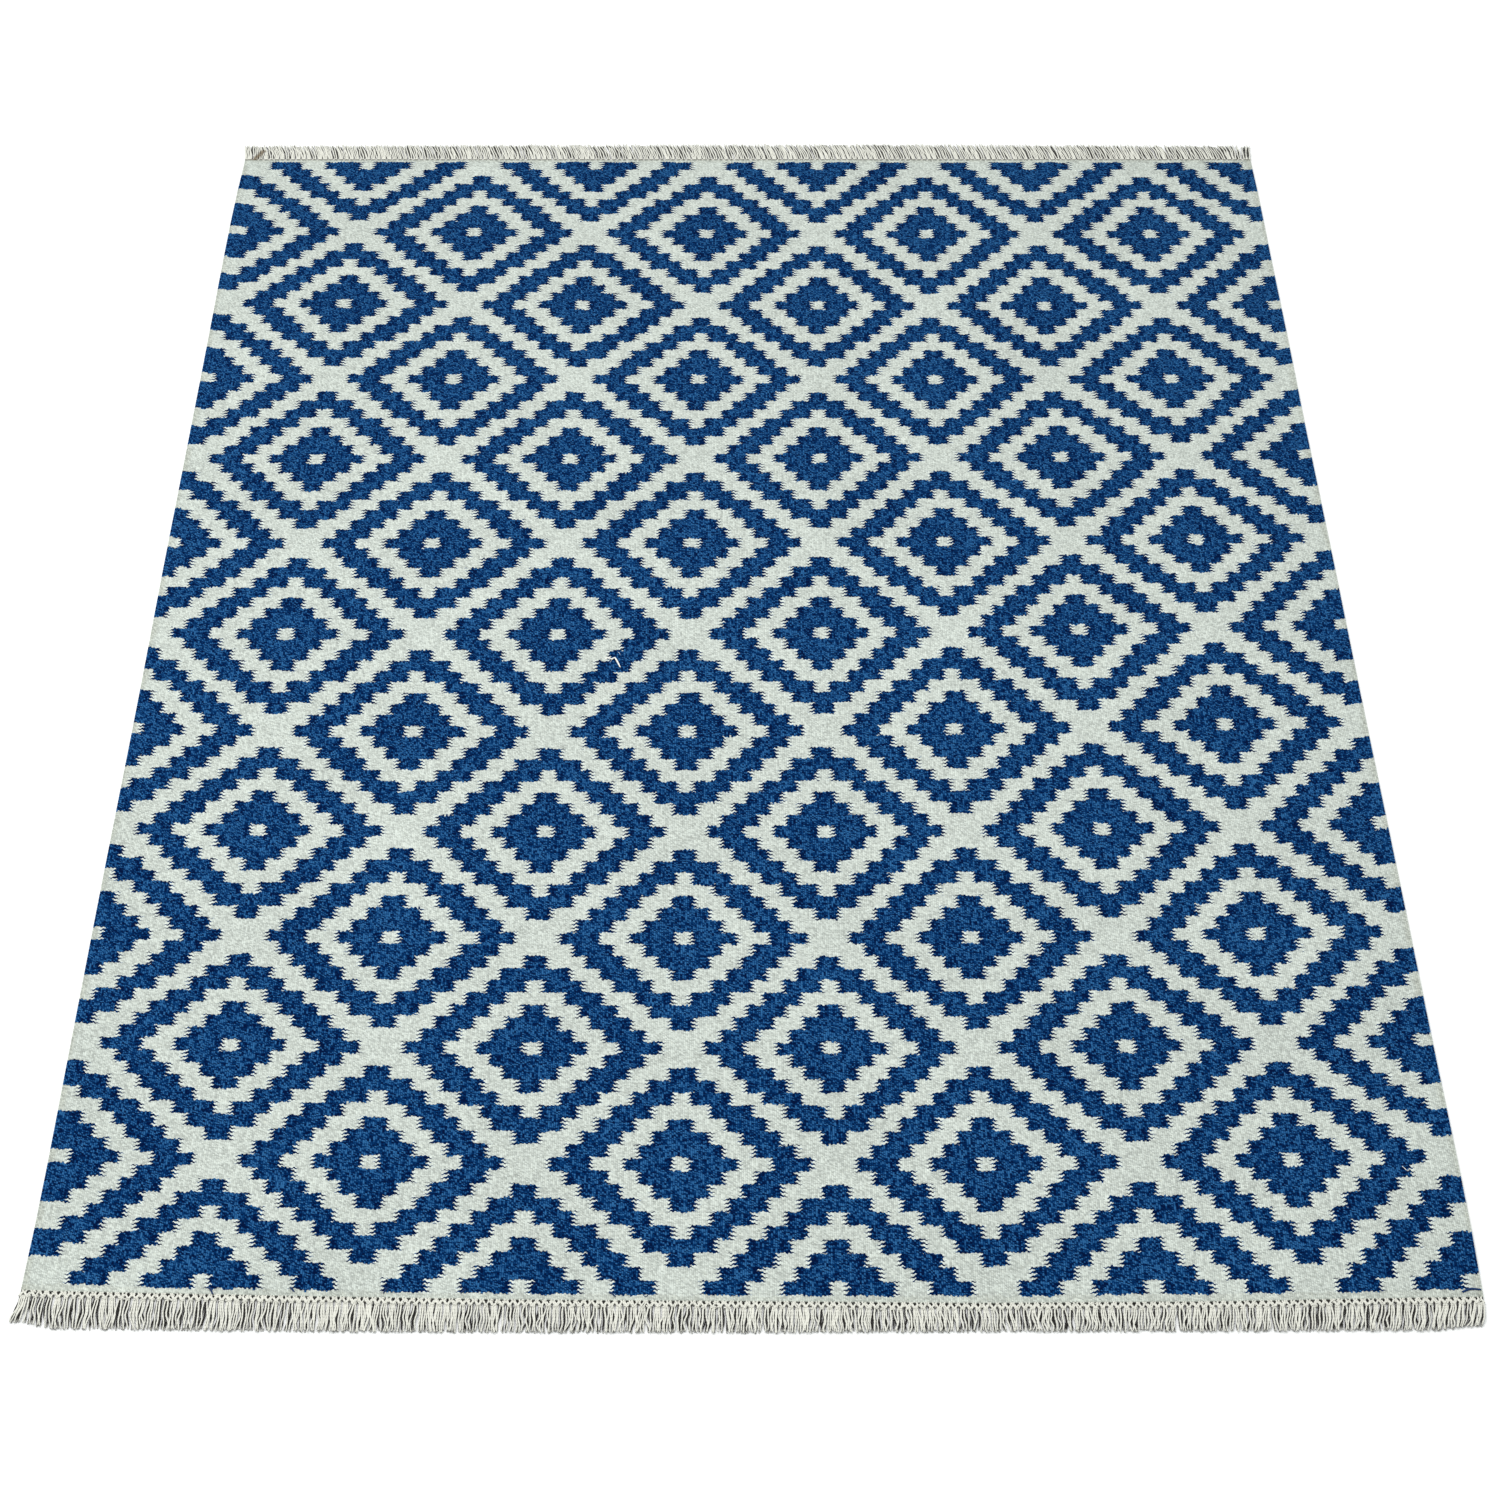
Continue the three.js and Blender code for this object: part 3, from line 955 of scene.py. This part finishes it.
def end_cap(start, top_count, ring, turned):
    """Closes one end of the cloth, from its top face down to its underside."""
    side_count = len(SELVEDGE_ROUND)
    faces = []
    for i in range(top_count - 1):
        under = ring - side_count - 1 - i
        faces.append((start + i, start + i + 1, start + under - 1, start + under))
    right = [start + i for i in range(top_count - 1, top_count + side_count + 1)]
    left = [start + i for i in range(ring - side_count - 1, ring)] + [start]
    faces += [tuple(right), tuple(left)]
    return [face[::-1] for face in faces] if turned else faces


def end_points(end):
    """Functions of the place across for one end: the woven edge, the strands' reach and their lean."""
    places = column_of(end["places"], "x") * MM
    tips = column_of(end["places"], "tips") * MM
    lean = column_of(end["places"], "lean") * MM
    return (lambda x: OUTLINE.woven(end["side"], x),
            lambda x: np.interp(x, places, tips) - np.abs(OUTLINE.woven(end["side"], x)),
            lambda x: np.interp(x, places, lean))


def knot_places(end, lower):
    """Places across for one row of knots. The lower knots stand between the upper ones."""
    corner = OUTLINE.woven(end["side"], 0.0)
    left = OUTLINE.left(corner)
    right = OUTLINE.right(corner)
    pitch = (right - left) / KNOTS_PER_ROW
    if lower:
        places = left + pitch * np.arange(KNOTS_PER_ROW + 1)
        inset = LOWER_INSET * pitch
        return np.clip(places, left + inset, right - inset), pitch
    return left + pitch * (np.arange(KNOTS_PER_ROW) + 0.5), pitch


def overhand_knot(wiring, width, length, height, thickness):
    """One tight knot about its own middle: a strand that winds through itself."""
    circle = wiring.add("GeometryNodeCurvePrimitiveCircle", 15, None, None, None, 1.0)
    turn = wiring.spline_share() * (2 * math.pi)
    x = (turn.sine() + (turn * 2).sine() * 2) / 3
    y = (wiring.math("COSINE", turn) - wiring.math("COSINE", turn * 2) * 2) / 3
    z = (turn * 3).sine() * -1
    thin = thickness * 0.5
    shape = wiring.vector(x * (width * 0.5 - thin), y * (length * 0.5 - thin), z * (height * 0.5 - thin))
    bent = wiring.add("GeometryNodeSetPosition", circle, None, shape)
    bent = wiring.store(bent, "along", wiring.spline_length() * 0.3)
    profile = round_profile(wiring, 4)
    return wiring.add("GeometryNodeCurveToMesh", bent, profile, thin, False)


def round_profile(wiring, sides):
    """A circle of radius 1 whose points know the way that they face."""
    circle = wiring.add("GeometryNodeCurvePrimitiveCircle", sides, None, None, None, 1.0)
    return wiring.store(circle, "round", wiring.add("GeometryNodeInputPosition"), "FLOAT_VECTOR")


def knot_tree():
    """A knot at each point, turned and sized a little at random."""
    wiring, (guides, width, length, height, thickness, seed, material) = geometry_tree("knot_row", {
        "Knot width": "NodeSocketFloat",
        "Knot length": "NodeSocketFloat",
        "Knot height": "NodeSocketFloat",
        "Yarn thickness": "NodeSocketFloat",
        "Seed": "NodeSocketInt",
        "Material": "NodeSocketMaterial",
    })
    knot = overhand_knot(wiring, width, length, height, thickness)
    points = wiring.add("GeometryNodeMeshToPoints", guides)
    points = wiring.store(points, "tone", wiring.random(*KNOT_TONES, seed))
    turn = wiring.vector(0.0, 0.0, wiring.random(*KNOT_TURNS, seed + 1))
    girth = wiring.attribute("girth")
    size = wiring.random(*KNOT_SIZES, seed + 2) * girth
    knots = wiring.add("GeometryNodeInstanceOnPoints", points, None, knot, None, None,
                       wiring.add("FunctionNodeEulerToRotation", turn), wiring.vector(size, size, girth))
    return end_tree(wiring, knots, material)


def leg_tree():
    """A short strand from each guide point to the place that it is bound for."""
    wiring, (guides, thickness, seed, material) = geometry_tree("knot_legs", {
        "Yarn thickness": "NodeSocketFloat",
        "Seed": "NodeSocketInt",
        "Material": "NodeSocketMaterial",
    })
    points = wiring.add("GeometryNodeMeshToPoints", guides)
    points = wiring.store(points, "tone", wiring.random(*LEG_TONES, seed))
    points = wiring.store(points, "home", wiring.add("GeometryNodeInputPosition"), "FLOAT_VECTOR")
    real = copies_of_line(wiring, points, 4)
    share = wiring.spline_share()
    hump = (share * math.pi).sine() * LEG_HUMP
    way = wiring.vector(wiring.attribute("way_x"), wiring.attribute("way_y"), hump)
    home = wiring.attribute("home", "FLOAT_VECTOR")
    place = wiring.add("ShaderNodeVectorMath", home, wiring.scaled(way, share), operation="ADD")
    bent = wiring.add("GeometryNodeSetPosition", real, None, place)
    bent = wiring.store(bent, "along", wiring.spline_length())
    tubes = wiring.add("GeometryNodeCurveToMesh", bent, round_profile(wiring, 5), thickness * 0.5, True)
    return end_tree(wiring, tubes, material)


def strand_tree():
    """A loose strand from each guide point, laid out along the floor with its own bends."""
    wiring, (guides, thickness, curl, gather, side, darkening, seed, material) = geometry_tree("loose_strands", {
        "Strand thickness": "NodeSocketFloat",
        "Curl": "NodeSocketFloat",
        "Gather": "NodeSocketFloat",
        "Side": "NodeSocketFloat",
        "Darkening": "NodeSocketFloat",
        "Seed": "NodeSocketInt",
        "Material": "NodeSocketMaterial",
    })
    points = wiring.add("GeometryNodeMeshToPoints", guides)
    points = wiring.store(points, "home", wiring.add("GeometryNodeInputPosition"), "FLOAT_VECTOR")
    for order, trait in enumerate(STRAND_TRAITS):
        value = wiring.random(trait["least"], trait["most"], seed + order)
        points = wiring.store(points, trait["name"], value ** trait["power"])
    real = copies_of_line(wiring, points, 10)

    share = wiring.spline_share()
    home_x, home_y, home_z = wiring.parts(wiring.attribute("home", "FLOAT_VECTOR"))
    reach = wiring.attribute("reach")
    out = reach * share
    loosened = share.ramp(0.0, 0.7)
    bend = (share * wiring.attribute("own_turns") + wiring.attribute("own_phase")).sine()
    snake = bend * wiring.attribute("own_curl") * curl * loosened
    drift_place = wiring.vector(home_x * DRIFT_ACROSS, out * DRIFT_OUT, side * DRIFT_SIDE)
    drift = (wiring.noise(drift_place, 1.0, 1.0) - 0.5) * 2 * gather * loosened
    own_lean = wiring.attribute("own_lean") * OWN_LEAN * share ** 2
    lean = wiring.attribute("lean") * share ** LEAN_POWER + own_lean
    x = home_x + wiring.attribute("fan") * share.ramp(-0.3, 0.5) + snake + drift + lean
    y = home_y + side * out
    rest = wiring.attribute("rest_height") + (bend + 1) * REST_BEND
    z = wiring.mix(share.ramp(0.0, 0.3), home_z, rest)
    bent = wiring.add("GeometryNodeSetPosition", real, None, wiring.vector(x, y, z))
    bent = wiring.store(bent, "along", wiring.spline_length())
    # Painted shade on the lower strands, fading at their tips, and the even darkening of the whole end.
    bent = wiring.store(bent, "painted_shade", wiring.attribute("painted_shade") * (1 - share.ramp(0.9, 1.05)) + darkening)
    girth = thickness * 0.5 * wiring.attribute("own_size") * (1 - share ** 6 * TIP_THINNING)
    tubes = wiring.add("GeometryNodeCurveToMesh", bent, round_profile(wiring, 5), girth, True)
    return end_tree(wiring, tubes, material)


def knot_guides(end, settings):
    """A point at the middle of each knot of both rows."""
    random = np.random.default_rng(end["seed"] + 60)
    woven, _, _ = end_points(end)
    points, girth = [], []
    for lower, out in ((False, settings.upper_row), (True, settings.lower_row)):
        places, _ = knot_places(end, lower)
        for i, x in enumerate(places):
            at_corner = i in (0, len(places) - 1)
            shift = 0 if at_corner else random.uniform(-1, 1) * KNOT_OFF_ACROSS
            size = end["knot_girth"] * (CORNER_KNOT if at_corner else 1)
            y = woven(x) + end["side"] * (out * end["knot_girth"] + random.uniform(-1, 1) * KNOT_OFF_OUT)
            points.append((x + shift, y, settings.knot_height * size * 0.5))
            girth.append(size)
    return mesh_object("guides", points, attributes={"girth": girth})


def leg_guides(end, settings):
    """From the weaving to each upper knot, and from each upper knot to the two lower knots beside it."""
    random = np.random.default_rng(end["seed"] + 70)
    woven, _, _ = end_points(end)
    side = end["side"]
    girth = end["knot_girth"]
    places, pitch = knot_places(end, False)
    points, way_x, way_y = [], [], []
    for x in places:
        for hand in (-1, 1):
            start = x + hand * (LEG_SPREAD + UPPER_LEG["outer"]) + random.uniform(-1, 1) * UPPER_LEG["off"]
            points.append((start, woven(x) - side * LEG_TUCK, UPPER_LEG["height"] * girth))
            way_x.append(-hand * UPPER_LEG["inward"])
            way_y.append(side * (settings.upper_row * girth + LEG_TUCK))
            for lane in LOWER_LEG["lanes"]:
                off = (lane + random.uniform(-1, 1) * LOWER_LEG["off"]) * MM
                start = x + hand * LEG_SPREAD * LOWER_LEG["spread"] + off
                y = woven(x) + side * settings.upper_row * girth
                points.append((start, y, LOWER_LEG["height"] * girth))
                way_x.append(hand * (pitch / 2 - LEG_SPREAD) + lane * MM * 0.5)
                way_y.append(side * (settings.lower_row - settings.upper_row) * girth)
    return mesh_object("guides", points, attributes={"way_x": way_x, "way_y": way_y})


def strand_guides(end, settings):
    """The root of each strand, under its lower knot. Deep strands lie on the floor, the others on them."""
    random = np.random.default_rng(end["seed"])
    woven, reach, lean = end_points(end)
    side = end["side"]
    places, pitch = knot_places(end, True)
    root_width = settings.knot_width * ROOT_SHARE
    guides = {key: [] for key in ("reach", "lean", "fan", "rest_height", "painted_shade")}
    points = []
    for i, x in enumerate(places):
        for layer in STRAND_LAYERS:
            start = DEEP_START if layer["painted_shade"] else end["root_start"]
            count = random.integers(layer["fewest"], layer["most"] + 1)
            for j in range(count):
                lane = (j + 0.5) / count - 0.5
                height = DEEP_HEIGHT if layer["painted_shade"] else end["root_height"]
                points.append((x + lane * root_width, woven(x) + side * start, height))
                short = layer["short"] + ROOT_SHORT + random.uniform(-1, 1) * end["scatter"]
                guides["reach"].append(reach(x) - start - short)
                guides["lean"].append(lean(x))
                guides["fan"].append(lane * (pitch - root_width) + random.uniform(-1, 1) * FAN_OFF)
                guides["rest_height"].append(layer["height"])
                # How strongly the lower strands are painted in shade.
                guides["painted_shade"].append(end["painted_gap_shade"] * layer["painted_shade"])
    return mesh_object("guides", points, attributes=guides)


def loose_end_tree():
    """A bent piece of yarn along each run of edges."""
    wiring, (runs, material) = geometry_tree("loose_ends", {"Material": "NodeSocketMaterial"})
    curves = wiring.add("GeometryNodeMeshToCurve", runs)
    curves = wiring.add("GeometryNodeCurveSplineType", curves, spline_type="CATMULL_ROM")
    curves = wiring.add("GeometryNodeResampleCurve", curves, None, 12)
    curves = wiring.store(curves, "along", wiring.spline_length())
    thin = wiring.attribute("thick") * 0.5
    tubes = wiring.add("GeometryNodeCurveToMesh", curves, round_profile(wiring, 6), thin, True)
    return end_tree(wiring, tubes, material)


def loose_end_guides(weft):
    """The bends of the loose ends of one weft, joined by edges. Their first points dip into the cloth."""
    points, edges, thick = [], [], []
    for end in LOOSE_ENDS:
        if end["weft"] != weft:
            continue
        last = len(end["bends"]) - 1
        for i, (x, y) in enumerate(end["bends"]):
            if i:
                edges.append((len(points) - 1, len(points)))
            dip = LOOSE_DIP if i == 0 else 0
            points.append((x * MM, y * MM, LOOSE_HEIGHT - dip))
            thick.append(end["thick"] * MM * (LOOSE_TAPER if i == last else 1))
    return mesh_object("guides", points, edges=edges, attributes={"thick": thick})


class ObjectOperator(bpy.types.Operator):
    """What the operators of this add-on share."""
    bl_options = {"REGISTER", "UNDO"}


class RUG_OT_cloth(ObjectOperator):
    """Weave the cloth, with its ribs and its stepped diamonds"""
    bl_idname = "rug.cloth"
    bl_label = "Cloth"

    def execute(self, context):
        settings = settings_of(context, "rug_cloth")
        cloth = grown(build_cloth(settings), "woven_cloth", ribbed_relief_tree(), {
            "Rib relief": settings.rib_relief,
            "Swell": settings.swell,
            "Material": cloth_material(settings),
        })
        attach(cloth, BODY)
        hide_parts("woven_field")
        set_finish(cloth, "cloth")
        return {"FINISHED"}


class RUG_OT_fringes(ObjectOperator):
    """Knot the warp ends at both ends of the rug and lay out the fringes"""
    bl_idname = "rug.fringes"
    bl_label = "Fringes"

    def execute(self, context):
        settings = settings_of(context, "rug_fringe")
        yarn = yarn_material(settings, "warp_yarn", settings.yarn, settings.shade)
        for label, end in (("front", FRONT_END), ("back", BACK_END)):
            knots = grown(knot_guides(end, settings), f"{label}_knots", knot_tree(), {
                "Knot width": settings.knot_width,
                "Knot length": settings.knot_length,
                "Knot height": settings.knot_height,
                "Yarn thickness": settings.knot_yarn,
                "Seed": end["seed"],
                "Material": yarn,
            })
            legs = grown(leg_guides(end, settings), f"{label}_legs", leg_tree(), {
                "Yarn thickness": settings.knot_yarn,
                "Seed": end["seed"] + 20,
                "Material": yarn,
            })
            strands = grown(strand_guides(end, settings), f"{label}_strands", strand_tree(), {
                "Strand thickness": settings.strand * end["stoutness"],
                "Curl": settings.curl * end["curl"],
                "Gather": settings.gather * end["gather"],
                "Side": float(end["side"]),
                "Darkening": float(end["darkening"]),
                "Seed": end["seed"] + 40,
                "Material": yarn,
            })
            for piece in (knots, legs, strands):
                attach(piece, BODY)
                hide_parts(end["cad_node"])
                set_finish(piece, "fringe_yarn")
        return {"FINISHED"}


class RUG_OT_loose_ends(ObjectOperator):
    """Lay the few loose ends of weft on the cloth"""
    bl_idname = "rug.loose_ends"
    bl_label = "Loose ends"

    def execute(self, context):
        settings = settings_of(context, "rug_cloth")
        fringe = settings_of(context, "rug_fringe")
        # Each weft's loose ends darken towards its second colour: painted shade on their sides and between
        # their plies, and their dust and stains.
        colors = {"cream": (settings.loose, settings.fleck_and_shade), "blue": (settings.blue, settings.dark_and_shaded_blue)}
        for weft, (color, shade) in colors.items():
            yarn = yarn_material(fringe, f"{weft}_loose_weft", color, shade)
            guides = loose_end_guides(weft)
            ends = grown(guides, f"{weft}_loose_ends", loose_end_tree(), {"Material": yarn})
            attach(ends, BODY)
            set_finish(ends, "cloth")
        return {"FINISHED"}


class RUG_OT_stage(ObjectOperator):
    """Set up the floor, the soft light and the camera"""
    bl_idname = "rug.stage"
    bl_label = "Stage"

    def execute(self, context):
        settings = settings_of(context, "rug_stage")
        add_floor(settings)
        add_lights(settings)
        add_camera(settings)
        return {"FINISHED"}


def add_floor(settings):
    """A wide plain floor under the rug."""
    reach = FLOOR_REACH
    corners = [(-reach, -reach, 0), (reach, -reach, 0), (reach, reach, 0), (-reach, reach, 0)]
    floor = mesh_object("floor", corners, [(0, 1, 2, 3)])
    material, _, surface = shader("floor", FLOOR_FINISH)
    surface.inputs["Base Color"].default_value = settings.floor
    floor.data.materials.append(material)


def add_lights(settings):
    """Light from all round, and one large soft light above the back left corner."""
    world = bpy.data.worlds.new("soft_sky")
    world.use_nodes = True
    sky = world.node_tree.nodes["Background"]
    sky.inputs["Color"].default_value = SKY_COLOR
    sky.inputs["Strength"].default_value = settings.sky
    bpy.context.scene.world = world
    light = bpy.data.lights.new("key_light", "AREA")
    light.energy = settings.key
    light.size = KEY_SIZE
    lamp = bpy.data.objects.new("key_light", light)
    lamp.location = KEY_PLACE
    lamp.rotation_euler = KEY_TURN
    bpy.context.scene.collection.objects.link(lamp)


def add_camera(settings):
    """The camera where it stood for the photograph."""
    camera = bpy.data.cameras.new("camera")
    camera.sensor_width = 36
    camera.lens = settings.lens
    eye = bpy.data.objects.new("camera", camera)
    eye.location = settings.camera_place
    eye.rotation_euler = (settings.camera_tilt, 0, 0)
    bpy.context.scene.collection.objects.link(eye)
    bpy.context.scene.camera = eye
    bpy.context.scene.view_settings.view_transform = "Standard"
    bpy.context.scene.view_settings.look = "None"


class RUG_PT_panel(bpy.types.Panel):
    """Lists the steps that make the rug"""
    bl_idname = "RUG_PT_panel"
    bl_label = "Flat-woven rug"
    bl_space_type = "VIEW_3D"
    bl_region_type = "UI"
    bl_category = "Rug"

    def draw(self, context):
        for operator, group in STEPS:
            box = self.layout.box()
            box.operator(operator.bl_idname)
            settings = settings_of(context, group)
            for name in settings.bl_rna.properties.keys():
                if name not in ("rna_type", "name"):
                    box.prop(settings, name)


STEPS = [
    (RUG_OT_cloth, "rug_cloth"),
    (RUG_OT_fringes, "rug_fringe"),
    (RUG_OT_loose_ends, "rug_cloth"),
    (RUG_OT_stage, "rug_stage"),
]
GROUPS = {"rug_cloth": ClothSettings, "rug_fringe": FringeSettings, "rug_stage": StageSettings}
CLASSES = [*GROUPS.values(), *(operator for operator, _ in STEPS), RUG_PT_panel]


def register():
    for item in CLASSES:
        bpy.utils.register_class(item)
    for name, group in GROUPS.items():
        setattr(bpy.types.Scene, name, PointerProperty(type=group))


def unregister():
    for name in GROUPS:
        delattr(bpy.types.Scene, name)
    for item in reversed(CLASSES):
        bpy.utils.unregister_class(item)


def main():
    register()
    bpy.ops.rug.cloth()
    bpy.ops.rug.fringes()
    bpy.ops.rug.loose_ends()
    bpy.ops.rug.stage()


if __name__ == "__main__":
    main()
